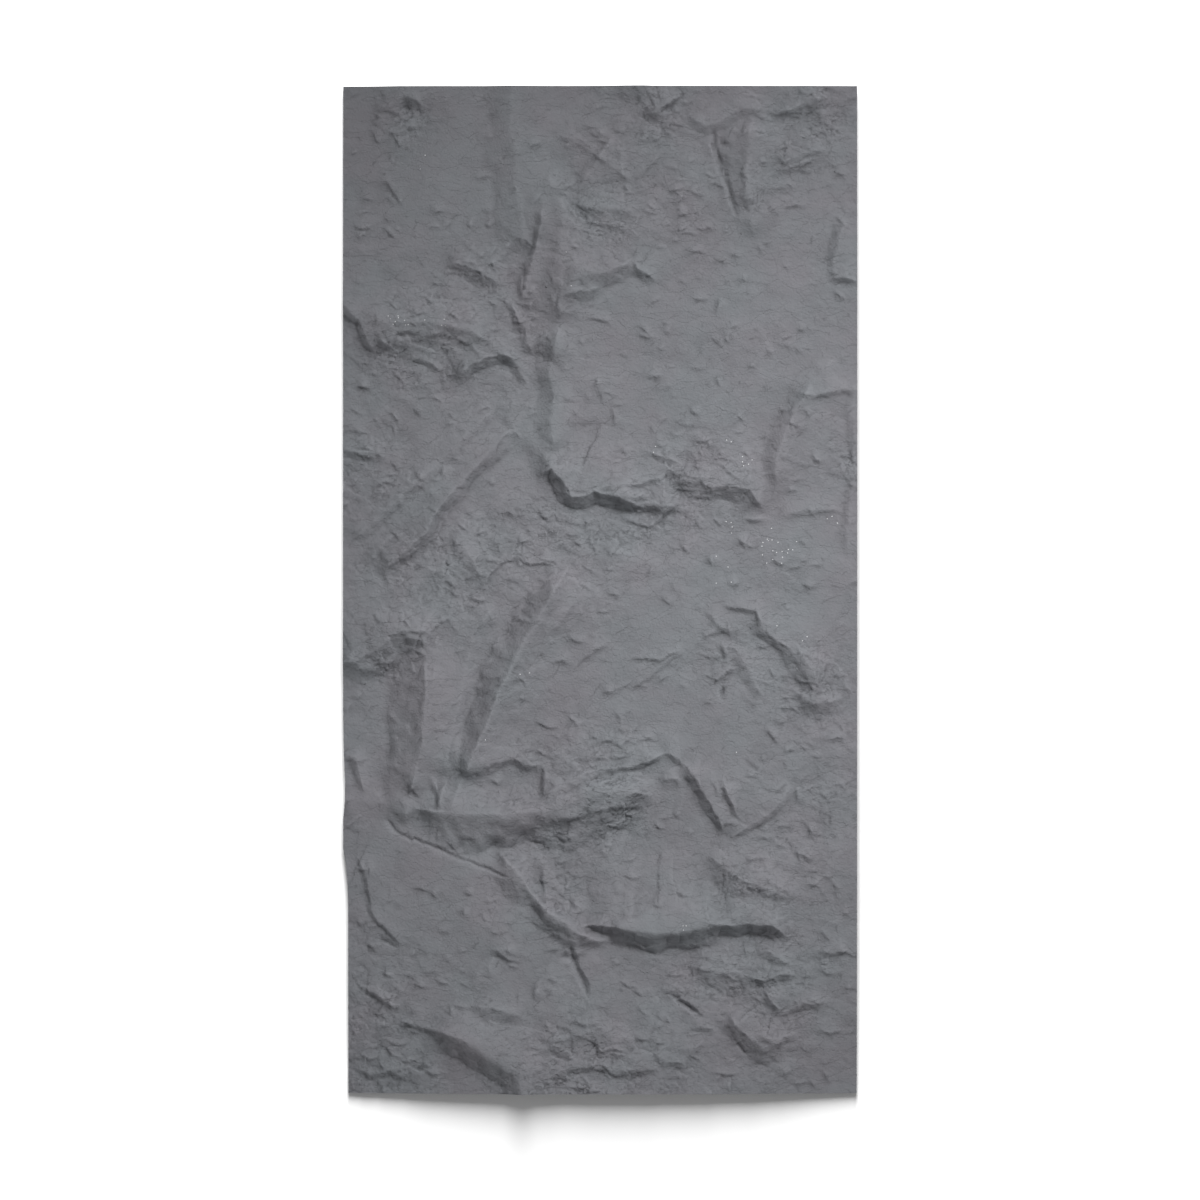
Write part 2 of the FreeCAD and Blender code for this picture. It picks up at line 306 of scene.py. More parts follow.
    ([(-40, -500), (-14, -506), (8, -502)], 3, 20, 4),
    # Bottom corners
    ([(-286, -462), (-262, -470), (-244, -486), (-226, -488)], 4, 26, 6),
    ([(-296, -556), (-270, -566), (-246, -562), (-222, -572)], 4, 24, 6),
    ([(250, -418), (272, -424), (298, -420)], 4, 30, 6),
    ([(96, -512), (118, -508), (140, -514)], 4, 26, 6),
    # Bottom left
    ([(-238, -502), (-214, -508), (-186, -519)], 5, 30, 6),
    ([(-206, -510), (-186, -516), (-164, -522), (-130, -542), (-98, -563), (-90, -590),
      (-88, -612)], 20, 70, 23),
    ([(-156, -485), (-124, -488), (-84, -498)], 7, 30, 13),
    ([(-134, -418), (-118, -422), (-98, -436)], 5, 22, 6),
    ([(-120, -424), (-136, -446), (-156, -470)], 4, 40, 10),
    ([(-60, -446), (-72, -458), (-76, -480)], 2, 14, 3),
]

# Grooves and cracks: route, depth, half width
GROOVES = [
    ([(-252, -262), (-236, -284), (-214, -292), (-180, -306), (-140, -322), (-100, -338)], 2.5, 3),
    ([(-234, 560), (-218, 562)], 4, 18),
    ([(60, 552), (82, 562), (98, 582)], 5, 5),
    ([(128, 546), (134, 520), (140, 495), (150, 465), (162, 430)], 3, 5),
    ([(136, 520), (150, 522)], 4, 8),
    ([(80, -469), (95, -481), (124, -502)], 6, 4),
    ([(152, -512), (158, -526), (170, -539), (186, -541)], 1.6, 3),
    ([(-36, -408), (-30, -432), (-20, -456), (-12, -480)], 5, 5),
    ([(-52, -428), (-34, -428), (-24, -424)], 4, 6),
    ([(-262, -398), (-254, -409), (-230, -419)], 3, 4),
    ([(143, -102), (142, -125), (153, -126)], 3, 4),
    ([(-208, -246), (-190, -254), (-172, -256)], 4, 10),
]

# Short broken edges that stand out on the slabs, each with its high side on the left hand
CHIPS = [
    [(75, 465), (88, 467), (100, 471)], [(84, 450), (94, 455), (96, 466)], [(86, 436), (104, 441)],
    [(108, 424), (118, 420), (128, 425)], [(48, 248), (62, 250), (78, 253)],
    [(106, 214), (114, 202)], [(90, 57), (98, 50), (107, 42)], [(158, 66), (168, 51), (176, 53)],
    [(200, 41), (214, 24)], [(126, 42), (134, 25)], [(150, 4), (164, 10)],
    [(-198, 440), (-188, 444), (-178, 443)], [(-156, 427), (-148, 423)], [(-134, 429), (-126, 424)],
    [(-88, 512), (-78, 520), (-68, 526)], [(-82, 446), (-74, 454), (-68, 464)],
    [(-220, 215), (-207, 200)], [(-182, 149), (-186, 129)], [(-218, 142), (-210, 130), (-202, 124)],
    [(-73, 96), (-56, 76)], [(-34, 61), (-26, 54), (-18, 50)], [(-76, 39), (-62, 36), (-44, 30)],
    [(-152, -7), (-140, -12), (-128, -10)], [(186, -158), (200, -170), (214, -184)],
    [(-112, -416), (-98, -428)], [(58, -363), (74, -370)], [(274, -422), (292, -424)],
    [(20, 99), (44, 93), (68, 93)], [(20, 86), (36, 80), (56, 75), (70, 82), (86, 98)],
    [(244, 162), (252, 150), (262, 144)], [(216, 115), (232, 120)], [(232, -226), (230, -252)],
    [(198, -242), (210, -230), (222, -224)], [(-102, 42), (-82, 30), (-66, 33), (-48, 26)],
    [(-266, 560), (-256, 552), (-262, 540)], [(-292, 428), (-276, 422), (-262, 426)],
    [(-286, 412), (-272, 416)], [(40, 300), (56, 294), (66, 297)],
    [(-18, 320), (0, 316), (16, 308)], [(96, 392), (112, 396), (126, 390)],
    [(102, 340), (118, 338), (128, 342)], [(206, 446), (226, 450), (244, 447)],
    [(0, 250), (-8, 232)], [(100, 176), (120, 174), (134, 180)],
    [(-268, 120), (-252, 128), (-240, 124)], [(-286, 240), (-268, 236)],
    [(-150, 206), (-134, 214), (-122, 210)], [(-40, -48), (-28, -60), (-10, -62)],
    [(-62, -84), (-44, -80), (-30, -88)], [(-80, -150), (-60, -160), (-44, -158)],
    [(30, -84), (52, -78), (70, -82), (98, -66)], [(0, -120), (22, -116)],
    [(40, -176), (56, -172), (68, -176)], [(-10, -178), (8, -176), (20, -182)],
    [(-130, -220), (-112, -226)], [(230, 10), (246, 4), (258, 6)], [(204, -158), (220, -150)],
    [(262, -178), (276, -172), (290, -176)], [(20, -330), (40, -336), (52, -334)],
    [(84, -346), (96, -356), (110, -358)], [(-160, -350), (-146, -356)],
    [(-200, -352), (-188, -360)], [(-226, -456), (-208, -462), (-196, -460)],
    [(-70, -462), (-80, -476)], [(20, -452), (34, -462), (50, -462)],
    [(-60, -566), (-40, -570), (-22, -564)], [(0, -560), (20, -566), (34, -560)],
    [(-6, -540), (14, -534), (36, -540)], [(130, -560), (148, -566), (168, -562)],
    [(206, -568), (226, -560)], [(-270, -468), (-256, -476), (-240, -474)],
    [(-290, -540), (-270, -548), (-250, -544)], [(-252, -522), (-236, -530), (-216, -526)],
    [(-212, -556), (-196, -566), (-176, -564)], [(150, -590), (152, -570)],
    [(250, -512), (268, -518), (290, -512)], [(252, -440), (266, -448), (284, -446)],
]
CHIP_RISE = 2.8
CHIP_BROW = 14.0
CHIP_FACE = 2.4
# Smaller ones scattered by chance: how many places are tried, and the share of them that get one,
# everywhere and what roughness adds to it
SCATTERED_TRIES = 1700
SCATTERED_EVERYWHERE = 0.08
SCATTERED_WHERE_ROUGH = 1.1
# Their direction in radians from X and its spread, the least and most of each measure, and the most
# that one bends, as a share of its half length
SCATTERED_HEADING = -0.2
SCATTERED_TURN = 0.6
SCATTERED_HALF_LENGTH = (4.0, 16.0)
SCATTERED_RISE = (0.7, 2.2)
SCATTERED_BROW = (5.0, 16.0)
SCATTERED_FACE = (1.0, 1.6)
SCATTERED_BEND = 0.3

# Roughness of the stone, from 0 to 1: everywhere, its change from place to place, and its least
ROUGH_EVERYWHERE = 0.18
ROUGH_CHANGE = 0.2
SMOOTHEST = 0.06
# Where the stone is rougher: place, reach and strength
ROUGH_PLACES = [
    (0, -250, 60, 0.45), (-60, -280, 60, 0.45), (200, -470, 90, 0.5), (50, -575, 70, 0.5),
    (-90, -570, 60, 0.5), (-270, -480, 70, 0.5), (-200, 20, 70, 0.6), (-270, 130, 50, 0.5),
    (-250, -75, 36, 0.8), (0, 436, 40, 0.8), (240, 545, 60, 0.7), (176, 470, 26, 0.3),
    (-150, 290, 70, 0.6), (-90, 330, 40, 0.2), (-140, 370, 34, 0.6), (130, 130, 50, 0.7),
    (60, 90, 50, 0.45), (-20, 60, 60, 0.4), (240, -110, 50, 0.55), (150, -80, 45, 0.4),
    (190, -340, 60, 0.5), (-55, -365, 40, 0.5), (-225, 560, 30, 0.6), (260, -250, 60, 0.4),
    (-90, 60, 60, 0.5), (-10, -560, 50, 0.6), (-250, -560, 60, 0.5), (140, -450, 50, 0.3),
    (-30, -535, 40, 0.4), (60, 575, 50, 0.6), (100, 450, 50, 0.4), (-240, 280, 50, 0.7),
    (290, 150, 30, 0.6), (0, -225, 50, 0.6),
]

# Tiny white specks, partly painted glints along the crests and partly white flecks in the paint: place,
# reach and how thick they lie
GLINTS_AND_SPECKS = [
    (170, 146, 11, 0.9), (150, 75, 7, 0.5), (146, 24, 13, 0.7), (198, 50, 16, 0.6),
    (226, 46, 6, 0.9), (270, 78, 7, 0.9), (150, 178, 8, 0.4), (62, 162, 3, 1.0), (214, 36, 10, 0.4),
    (205, -142, 4, 0.9), (155, -188, 5, 0.7), (238, -60, 8, 0.4), (278, -25, 6, 0.5),
    (275, -174, 5, 0.6), (212, -38, 6, 0.5), (-240, 312, 7, 1.0), (-228, 312, 5, 1.0),
    (-205, 311, 6, 0.8), (-184, 310, 6, 0.8), (-38, 398, 4, 1.0), (-210, 490, 4, 1.0),
    (-202, 507, 3, 0.9), (-90, -95, 5, 0.9), (-107, -127, 4, 0.8), (-131, -174, 4, 0.8),
    (96, -394, 5, 1.0), (158, -190, 6, 0.4), (-33, 356, 3, 0.9),
]
# No specks where they would lie thinner than this
SPECK_START = 0.05
# Cells for the specks, so many to a metre, and a speck's radius as a share of its cell
SPECK_CELLS = 170.0
SPECK_SHARE = 0.09
# Width of the thin dark strokes in the paint
STROKE_WIDTH = 0.9
# Painted shade in the bottom of a step and painted highlight along an edge: the paint's brightness
# there, as shares of what it is elsewhere
DARKEST_PAINTED_SHADE = 0.7
LIGHTEST_PAINTED_HIGHLIGHT = 1.1


def smooth_step(t):
    t = np.clip(t, 0.0, 1.0)
    return t * t * (3.0 - 2.0 * t)


def nearest_on_route(route, x, y):
    # Distance to the route, which side each point is on (positive is left), how far along, and length
    nearest = np.full(x.shape, np.inf)
    side = np.zeros(x.shape)
    along = np.zeros(x.shape)
    walked = 0.0
    for (x0, y0), (x1, y1) in zip(route, route[1:]):
        dx, dy = x1 - x0, y1 - y0
        length = math.hypot(dx, dy)
        t = np.clip(((x - x0) * dx + (y - y0) * dy) / length ** 2, 0.0, 1.0)
        distance = np.hypot(x - x0 - t * dx, y - y0 - t * dy)
        closer = distance < nearest
        nearest = np.where(closer, distance, nearest)
        side = np.where(closer, dx * (y - y0) - dy * (x - x0), side)
        along = np.where(closer, walked + t * length, along)
        walked += length
    return nearest, side, along, walked


def strength_along(distance, along, length, rise):
    end = np.minimum(max(RUN_OUT, RUN_OUT_RATIO * rise) + distance, length / 2.0)
    return smooth_step(along / end) * smooth_step((length - along) / end)


def ledge_height(x, y, route, rise, brow, face):
    distance, side, along, length = nearest_on_route(route, x, y)
    behind = np.maximum(0.0, 1.0 - distance / brow) ** 1.5
    in_front = np.maximum(0.0, 1.0 - distance / face)
    return rise * np.where(side >= 0, behind, in_front) * strength_along(distance, along, length, rise)


def groove_depth(x, y, route, depth, half_width):
    distance, side, along, length = nearest_on_route(route, x, y)
    taper = strength_along(distance, along, length, depth)
    return depth * np.maximum(0.0, 1.0 - distance / half_width) * taper


def spline_weights(t):
    return (
        (1.0 - t) ** 3 / 6.0,
        (3.0 * t ** 3 - 6.0 * t ** 2 + 4.0) / 6.0,
        (-3.0 * t ** 3 + 3.0 * t ** 2 + 3.0 * t + 1.0) / 6.0,
        t ** 3 / 6.0,
    )


def ground_height(x, y):
    # The heights of the sixteen nearest places, blended smoothly
    heights = np.array(GROUND, float)
    rows, columns = heights.shape
    across = (x / WIDTH + 0.5) * (columns - 1)
    down = (0.5 - y / LENGTH) * (rows - 1)
    column = np.floor(across).astype(int)
    row = np.floor(down).astype(int)
    z = np.zeros(x.shape)
    for j, share_down in enumerate(spline_weights(down - row), start=-1):
        for i, share_across in enumerate(spline_weights(across - column), start=-1):
            place = heights[np.clip(row + j, 0, rows - 1), np.clip(column + i, 0, columns - 1)]
            z += share_down * share_across * place
    return z


def noise(x, y, size, seed):
    # Smooth random hills and dips of about this size, from -1 to 1
    directions = np.random.default_rng(seed).uniform(0.0, 2.0 * math.pi, (REPEAT, REPEAT))
    slope_x, slope_y = np.cos(directions), np.sin(directions)
    column, row = np.floor(x / size), np.floor(y / size)
    u, v = x / size - column, y / size - row
    column, row = column.astype(int), row.astype(int)

    def pull(i, j):
        a, b = (column + i) % REPEAT, (row + j) % REPEAT
        return slope_x[a, b] * (u - i) + slope_y[a, b] * (v - j)

    fade_u = u * u * u * (u * (u * 6.0 - 15.0) + 10.0)
    fade_v = v * v * v * (v * (v * 6.0 - 15.0) + 10.0)
    lower = pull(0, 0) * (1.0 - fade_u) + pull(1, 0) * fade_u
    upper = pull(0, 1) * (1.0 - fade_u) + pull(1, 1) * fade_u
    return 1.4 * (lower * (1.0 - fade_v) + upper * fade_v)


def layered_noise(x, y, size, layers, seed, keep=0.5):
    # Noise with finer noise on top, each layer half the size and this share of the strength
    total = np.zeros(x.shape)
    for k in range(layers):
        total += keep ** k * noise(x + 17.3 * k, y - 9.1 * k, size / 2.0 ** k, seed + k)
    return total


def facets(x, y, size, tilt, seed, crispness):
    # Flat splinters of about this size, each with its own tilt, that meet in small steps
    rng = np.random.default_rng(seed)
    middle_x, middle_y = rng.uniform(0.1, 0.9, (2, REPEAT, REPEAT))
    tilt_x, tilt_y = rng.normal(0.0, tilt, (2, REPEAT, REPEAT))
    column, row = np.floor(x / size).astype(int), np.floor(y / size).astype(int)
    total = np.zeros(x.shape)
    weights = np.zeros(x.shape)
    for i in (-1, 0, 1):
        for j in (-1, 0, 1):
            a, b = (column + i) % REPEAT, (row + j) % REPEAT
            off_x = x - (column + i + middle_x[a, b]) * size
            off_y = y - (row + j + middle_y[a, b]) * size
            weight = ((off_x ** 2 + off_y ** 2) / size ** 2 + 0.02) ** -crispness
            total += weight * (tilt_x[a, b] * off_x + tilt_y[a, b] * off_y)
            weights += weight
    return total / weights


def along_grain(x, y, degrees, stretch):
    # Coordinates in which everything comes out longer in the given direction
    turn = math.radians(degrees)
    return (x * math.cos(turn) + y * math.sin(turn)) / stretch, y * math.cos(turn) - x * math.sin(turn)


def stone_facets(x, y, rough, everywhere, where_rough, grain, stretch, size, tilt, seed, crispness):
    strength = everywhere + where_rough * rough
    return strength * facets(*along_grain(x, y, grain, stretch), size, tilt, seed, crispness)


def broken_layers(height, x, y, thickness, ragged, edge, seed):
    # Layers broken away, more or less level: wide treads with narrow risers between them
    field = height / thickness + ragged * layered_noise(x, y, size=42.0, layers=5, seed=seed, keep=0.65)
    tread = np.floor(field)
    riser = smooth_step((field - tread - 1.0 + edge) / edge)
    return thickness * (tread + riser - field)


def spots(x, y, places, base):
    # The base value, and each place's strength on top, fading out over its reach
    total = np.full(x.shape, base)
    for px, py, reach, strength in places:
        total += strength * np.exp(-((x - px) ** 2 + (y - py) ** 2) / reach ** 2)
    return total


def roughness_map(x, y):
    rough = spots(x, y, ROUGH_PLACES, ROUGH_EVERYWHERE)
    rough += ROUGH_CHANGE * noise(x, y, size=60.0, seed=41)
    return np.clip(rough, SMOOTHEST, 1.0)


def speck_map(x, y):
    return np.clip(spots(x, y, GLINTS_AND_SPECKS, 0.0) - SPECK_START, 0.0, 1.0)


def window_round(xs, ys, route, reach):
    # The part of the grid that a route can touch
    route = np.array(route, float)
    i0, i1 = np.searchsorted(xs, [route[:, 0].min() - reach, route[:, 0].max() + reach])
    j0, j1 = np.searchsorted(ys, [route[:, 1].min() - reach, route[:, 1].max() + reach])
    return slice(i0, i1), slice(j0, j1)


def random_chip(rng):
    # Middle, route, rise, brow and face of a small broken edge, high towards the top edge as a rule
    middle = np.array([rng.uniform(-WIDTH / 2, WIDTH / 2), rng.uniform(-LENGTH / 2, LENGTH / 2)])
    heading = rng.normal(SCATTERED_HEADING, SCATTERED_TURN)
    half = rng.uniform(*SCATTERED_HALF_LENGTH)
    bend = rng.uniform(-SCATTERED_BEND, SCATTERED_BEND) * half
    rise = rng.uniform(*SCATTERED_RISE)
    brow = rng.uniform(*SCATTERED_BROW)
    face = rng.uniform(*SCATTERED_FACE)
    ahead = np.array([math.cos(heading), math.sin(heading)])
    aside = np.array([-ahead[1], ahead[0]])
    route = [middle - half * ahead, middle - 0.3 * half * ahead + bend * aside,
             middle + 0.4 * half * ahead + 0.8 * bend * aside, middle + half * ahead]
    return middle, route, rise, brow, face


def add_chips(z, xs, ys, x, y, rough):
    # Scattered chips, most of them where the stone is rough, and the ones with places of their own
    rng = np.random.default_rng(7)
    for _ in range(SCATTERED_TRIES):
        middle, route, rise, brow, face = random_chip(rng)
        chance = rng.uniform(0.0, 1.0)
        column = np.searchsorted(xs, middle[0]) - 1
        row = np.searchsorted(ys, middle[1]) - 1
        if chance > SCATTERED_EVERYWHERE + SCATTERED_WHERE_ROUGH * rough[column, row]:
            continue
        window = window_round(xs, ys, route, brow)
        z[window] += ledge_height(x[window], y[window], route, rise, brow, face)
    for route in CHIPS:
        window = window_round(xs, ys, route, CHIP_BROW + MOST_STRAY)
        z[window] += ledge_height(x[window], y[window], route, CHIP_RISE, CHIP_BROW, CHIP_FACE)


def broken_line(x, y, seed):
    # How far lines in the stone stray from their routes: a slow wander, and short sharp jogs
    wander = layered_noise(x, y, size=34.0, layers=3, seed=seed)
    return WANDER * wander + facets(x, y, size=13.0, tilt=0.08, seed=seed + 5, crispness=12.0)


def ledged_ground(xs, ys, x, y, strayed_x, strayed_y):
    # The broad ground with its ledges and grooves
    uneven = 1.0 + UNEVEN_FACES * layered_noise(x, y, size=55.0, layers=3, seed=91, keep=0.6)
    z = ground_height(x, y)
    blended = np.zeros(x.shape)
    for route, rise, brow, face in LEDGES:
        window = window_round(xs, ys, route, max(brow, face) * 1.3 + MOST_STRAY)
        near_x, near_y = strayed_x[window], strayed_y[window]
        ledge = ledge_height(near_x, near_y, route, rise, brow, face * uneven[window])
        if rise < SMALL_RISE:
            z[window] += ledge
        else:
            blended[window] += ledge ** LEDGE_BLEND
    z += blended ** (1.0 / LEDGE_BLEND)
    for route, depth, half_width in GROOVES:
        window = window_round(xs, ys, route, half_width + MOST_STRAY)
        z[window] -= groove_depth(strayed_x[window], strayed_y[window], route, depth, half_width)
    return z


def levelled_off(z):
    # Nothing stands above the panel's own thickness
    knee = TOP - HIGHEST_BAND
    return np.where(z > knee, knee + HIGHEST_BAND * np.tanh((z - knee) / HIGHEST_BAND), z)


def rock_height(xs, ys):
    x, y = np.meshgrid(xs, ys, indexing="ij")
    strayed_x = x + broken_line(x, y, 11)
    strayed_y = y + broken_line(x, y, 23)
    rough = roughness_map(x, y)
    broad = ledged_ground(xs, ys, x, y, strayed_x, strayed_y)
    broad += stone_facets(strayed_x, strayed_y, rough, **LARGE_FACETS)
    broad += UNDULATION * layered_noise(x, y, size=90.0, layers=3, seed=31)
    slopes = np.gradient(broad, xs, ys)
    steep = smooth_step((np.hypot(slopes[0], slopes[1]) - STEEP_FROM) / (STEEP_TO - STEEP_FROM))
    flaky = smooth_step(0.4 + 1.4 * noise(x, y, size=40.0, seed=57))
    flakes = broken_layers(broad / 2.0, strayed_x, strayed_y, FLAKE, ragged=1.3, edge=0.12, seed=71)
    z = broad + LAYERS_SHOW * steep * broken_layers(broad, x, y, LAYER, ragged=0.35, edge=0.3, seed=51)
    z += (rough - FLAKES_FROM) * flaky * flakes
    on_steep = 1.0 - STEEP_CALM * steep
    z += on_steep * stone_facets(strayed_x, strayed_y, rough, **MEDIUM_FACETS)
    z += on_steep * stone_facets(strayed_x, strayed_y, rough, **SMALL_FACETS)
    add_chips(z, xs, ys, strayed_x, strayed_y, rough)
    return levelled_off(z)


def hollows(z):
    # How far each point lies below those around it: 1 in the bottom of a step, and -1 along an edge
    around = z
    span = 2 * HOLLOW_REACH + 1
    for axis in (0, 1):
        width = [(0, 0), (0, 0)]
        width[axis] = (HOLLOW_REACH, HOLLOW_REACH)
        padded = np.pad(around, width, mode="edge")
        shifted = [np.take(padded, np.arange(k, k + z.shape[axis]), axis=axis) for k in range(span)]
        around = sum(shifted) / span
    return np.clip((around - z) / HOLLOW_DEPTH, -1.0, 1.0)


def left_inset(ys):
    # How far the left edge comes in at each place along Y
    places = [y for y, inset in LEFT_EDGE][::-1]
    insets = [inset for y, inset in LEFT_EDGE][::-1]
    return np.interp(ys, places, insets)


def grid_faces(count_x, count_y, first, flipped):
    i, j = np.meshgrid(np.arange(count_x - 1), np.arange(count_y - 1), indexing="ij")
    a = (first + i * count_y + j).ravel()
    faces = np.stack([a, a + count_y, a + count_y + 1, a + 1], axis=1)
    return faces[:, ::-1] if flipped else faces


def face_grid(pitch):
    xs = np.linspace(-WIDTH / 2, WIDTH / 2, round(WIDTH / pitch) + 1)
    ys = np.linspace(-LENGTH / 2, LENGTH / 2, round(LENGTH / pitch) + 1)
    return xs, ys


def trimmed(xs, ys):
    # The grid's columns next to the left edge come in with it; those past the rim stay
    x, y = np.meshgrid(xs, ys, indexing="ij")
    near_left = np.clip(1.0 - (x + WIDTH / 2) / RIM_WIDTH, 0.0, 1.0)
    return x + left_inset(y) * near_left, y


def rock_face():
    xs, ys = face_grid(FACE_PITCH)
    z = rock_height(xs, ys)
    x, y = trimmed(xs, ys)
    return np.stack([x, y, z], axis=2)


def hollow_back():
    # Rim at the floor, and a ceiling that follows the broad ground
    xs, ys = face_grid(BACK_PITCH)
    x, y = trimmed(xs, ys)
    inside = np.minimum(WIDTH / 2 - np.abs(x), LENGTH / 2 - np.abs(y)) > RIM_WIDTH - BACK_PITCH / 2
    z = np.where(inside, ground_height(x, y) - SKIN, 0.0)
    return np.stack([x, y, z], axis=2)


def border(points):
    # The grid's outer points in order, once round
    return np.concatenate([points[:-1, 0], points[-1, :-1], points[:0:-1, -1], points[0, :0:-1]])


def store(mesh, name, values):
    # A value for each point of the mesh, for the paint
    mesh.attributes.new(name, "FLOAT", "POINT").data.foreach_set("value", values)


def panel_mesh():
    face = rock_face()
    back = hollow_back()
    rim_top = border(face)
    rim_foot = rim_top * [1.0, 1.0, 0.0]
    points = np.concatenate([face.reshape(-1, 3), back.reshape(-1, 3), rim_top, rim_foot])
    first_back = face.shape[0] * face.shape[1]
    first_top = first_back + back.shape[0] * back.shape[1]
    first_foot = first_top + len(rim_top)
    k = np.arange(len(rim_top))
    after = (k + 1) % len(rim_top)
    faces = np.concatenate([
        grid_faces(face.shape[0], face.shape[1], 0, False),
        grid_faces(back.shape[0], back.shape[1], first_back, True),
        np.stack([first_foot + k, first_foot + after, first_top + after, first_top + k], axis=1),
    ])
    mesh = bpy.data.meshes.new("stone_panel_skin")
    mesh.from_pydata((points * MM).tolist(), [], faces.tolist())
    # Where the paint gets painted shade in the bottoms of the steps and a painted highlight along their
    # edges
    painted_shade_and_highlight = np.zeros(len(points))
    painted_shade_and_highlight[:first_back] = hollows(face[:, :, 2]).ravel()
    store(mesh, "rough", roughness_map(points[:, 0], points[:, 1]))
    store(mesh, "specks", speck_map(points[:, 0], points[:, 1]))
    store(mesh, "hollows", painted_shade_and_highlight)
    return mesh


def thin_out(obj):
    # Fewer triangles on the flat parts of the rock face
    triangles = 2 * len(obj.data.polygons)
    thinner = obj.modifiers.new("thinner", "DECIMATE")
    thinner.ratio = min(1.0, FACE_TRIANGLES / triangles)
    bpy.context.view_layer.objects.active = obj
    bpy.ops.object.modifier_apply(modifier=thinner.name)


def feed(tree, value, socket):
    # Give a socket a number, or join it to the output that its value comes from
    if isinstance(value, float):
        socket.default_value = value
    else:
        tree.links.new(value, socket)


def calculated(tree, operation, first, second):
    step = tree.nodes.new("ShaderNodeMath")
    step.operation = operation
    feed(tree, first, step.inputs[0])
    feed(tree, second, step.inputs[1])
    return step.outputs["Value"]


def scaled(tree, value, factor):
    return calculated(tree, "MULTIPLY", value, factor)


def ranged(tree, value, start, end, at_start, at_end):
    # Goes from at_start to at_end while the value goes from start to end
    reach = tree.nodes.new("ShaderNodeMapRange")
    reach.inputs["From Min"].default_value = start
    reach.inputs["From Max"].default_value = end
    reach.inputs["To Min"].default_value = at_start
    reach.inputs["To Max"].default_value = at_end
    tree.links.new(value, reach.inputs["Value"])
    return reach.outputs["Result"]


def carried(tree, name):
    # A value that the mesh carries at each point
    value = tree.nodes.new("ShaderNodeAttribute")
    value.attribute_name = name
    return value.outputs["Fac"]


def mottle(tree, place, scale, detail):
    cloud = tree.nodes.new("ShaderNodeTexNoise")
    cloud.inputs["Scale"].default_value = scale
    cloud.inputs["Detail"].default_value = detail
    tree.links.new(place, cloud.inputs["Vector"])
    return cloud


def cells_at(tree, place, scale):
    cells = tree.nodes.new("ShaderNodeTexVoronoi")
    cells.voronoi_dimensions = "2D"
    cells.inputs["Scale"].default_value = scale
    tree.links.new(place, cells.inputs["Vector"])
    return cells


def grained_cells(tree, place, size, seed, degrees, squeeze):
    # Random cells of about this size, longer along the stone's grain, and the place in their scale
    turned = tree.nodes.new("ShaderNodeMapping")
    turned.inputs["Location"].default_value = (seed, 2.0 * seed, 0.0)
    turned.inputs["Rotation"].default_value = (0.0, 0.0, math.radians(degrees))
    turned.inputs["Scale"].default_value = (squeeze / (size * MM), 1.0 / (size * MM), 0.0)
    tree.links.new(place, turned.inputs["Vector"])
    return cells_at(tree, turned.outputs["Vector"], 1.0), turned.outputs["Vector"]


def first_part(tree, colour):
    # The first part of a cell's random colour, an even random value from 0 to 1
    apart = tree.nodes.new("ShaderNodeSeparateColor")
    tree.links.new(colour, apart.inputs["Color"])
    return apart.outputs["Red"]


def splinters(tree, place, size, seed):
    # Height of small flat splinters, each with its own tilt
    cells, turned = grained_cells(tree, place, size, seed, degrees=22.0, squeeze=0.55)
    tilt = tree.nodes.new("ShaderNodeVectorMath")
    tilt.operation = "SUBTRACT"
    tilt.inputs[1].default_value = (0.5, 0.5, 0.5)
    off = tree.nodes.new("ShaderNodeVectorMath")
    off.operation = "SUBTRACT"
    height = tree.nodes.new("ShaderNodeVectorMath")
    height.operation = "DOT_PRODUCT"
    tree.links.new(cells.outputs["Color"], tilt.inputs[0])
    tree.links.new(turned, off.inputs[0])
    tree.links.new(cells.outputs["Position"], off.inputs[1])
    tree.links.new(tilt.outputs["Vector"], height.inputs[0])
    tree.links.new(off.outputs["Vector"], height.inputs[1])
    return height.outputs["Value"]


def strokes(tree, place, size, seed):
    # Thin broken lines, 1 in the middle of a line and 0 beside it
    cells, turned = grained_cells(tree, place, size, seed, degrees=18.0, squeeze=0.4)
    cells.feature = "DISTANCE_TO_EDGE"
    line = ranged(tree, cells.outputs["Distance"], 0.0, STROKE_WIDTH / size, 1.0, 0.0)
    gaps = mottle(tree, turned, scale=2.2, detail=3.0)
    gaps.noise_dimensions = "2D"
    return scaled(tree, line, ranged(tree, gaps.outputs["Fac"], 0.56, 0.64, 0.0, 1.0))


def patches(tree, place, size, seed):
    # An even random value from 0 to 1 for each patch of about this size
    cells, _ = grained_cells(tree, place, size, seed, degrees=30.0, squeeze=0.6)
    return first_part(tree, cells.outputs["Color"])


def wandering(tree, place, scale, reach):
    # The place on the panel, shifted to and fro so that straight borders come out uneven
    jog = tree.nodes.new("ShaderNodeVectorMath")
    jog.operation = "MULTIPLY_ADD"
    jog.inputs[1].default_value = (reach * MM, reach * MM, 0.0)
    tree.links.new(mottle(tree, place, scale, detail=3.0).outputs["Color"], jog.inputs[0])
    tree.links.new(place, jog.inputs[2])
    return jog.outputs["Vector"]


def shaded(tree, colour, value, darkest):
    # The colour times darkest where the value is 1, and as it is where the value is 0
    tone = tree.nodes.new("ShaderNodeVectorMath")
    tone.operation = "SCALE"
    tree.links.new(colour, tone.inputs["Vector"])
    tree.links.new(ranged(tree, value, 0.0, 1.0, 1.0, darkest), tone.inputs["Scale"])
    return tone.outputs["Vector"]


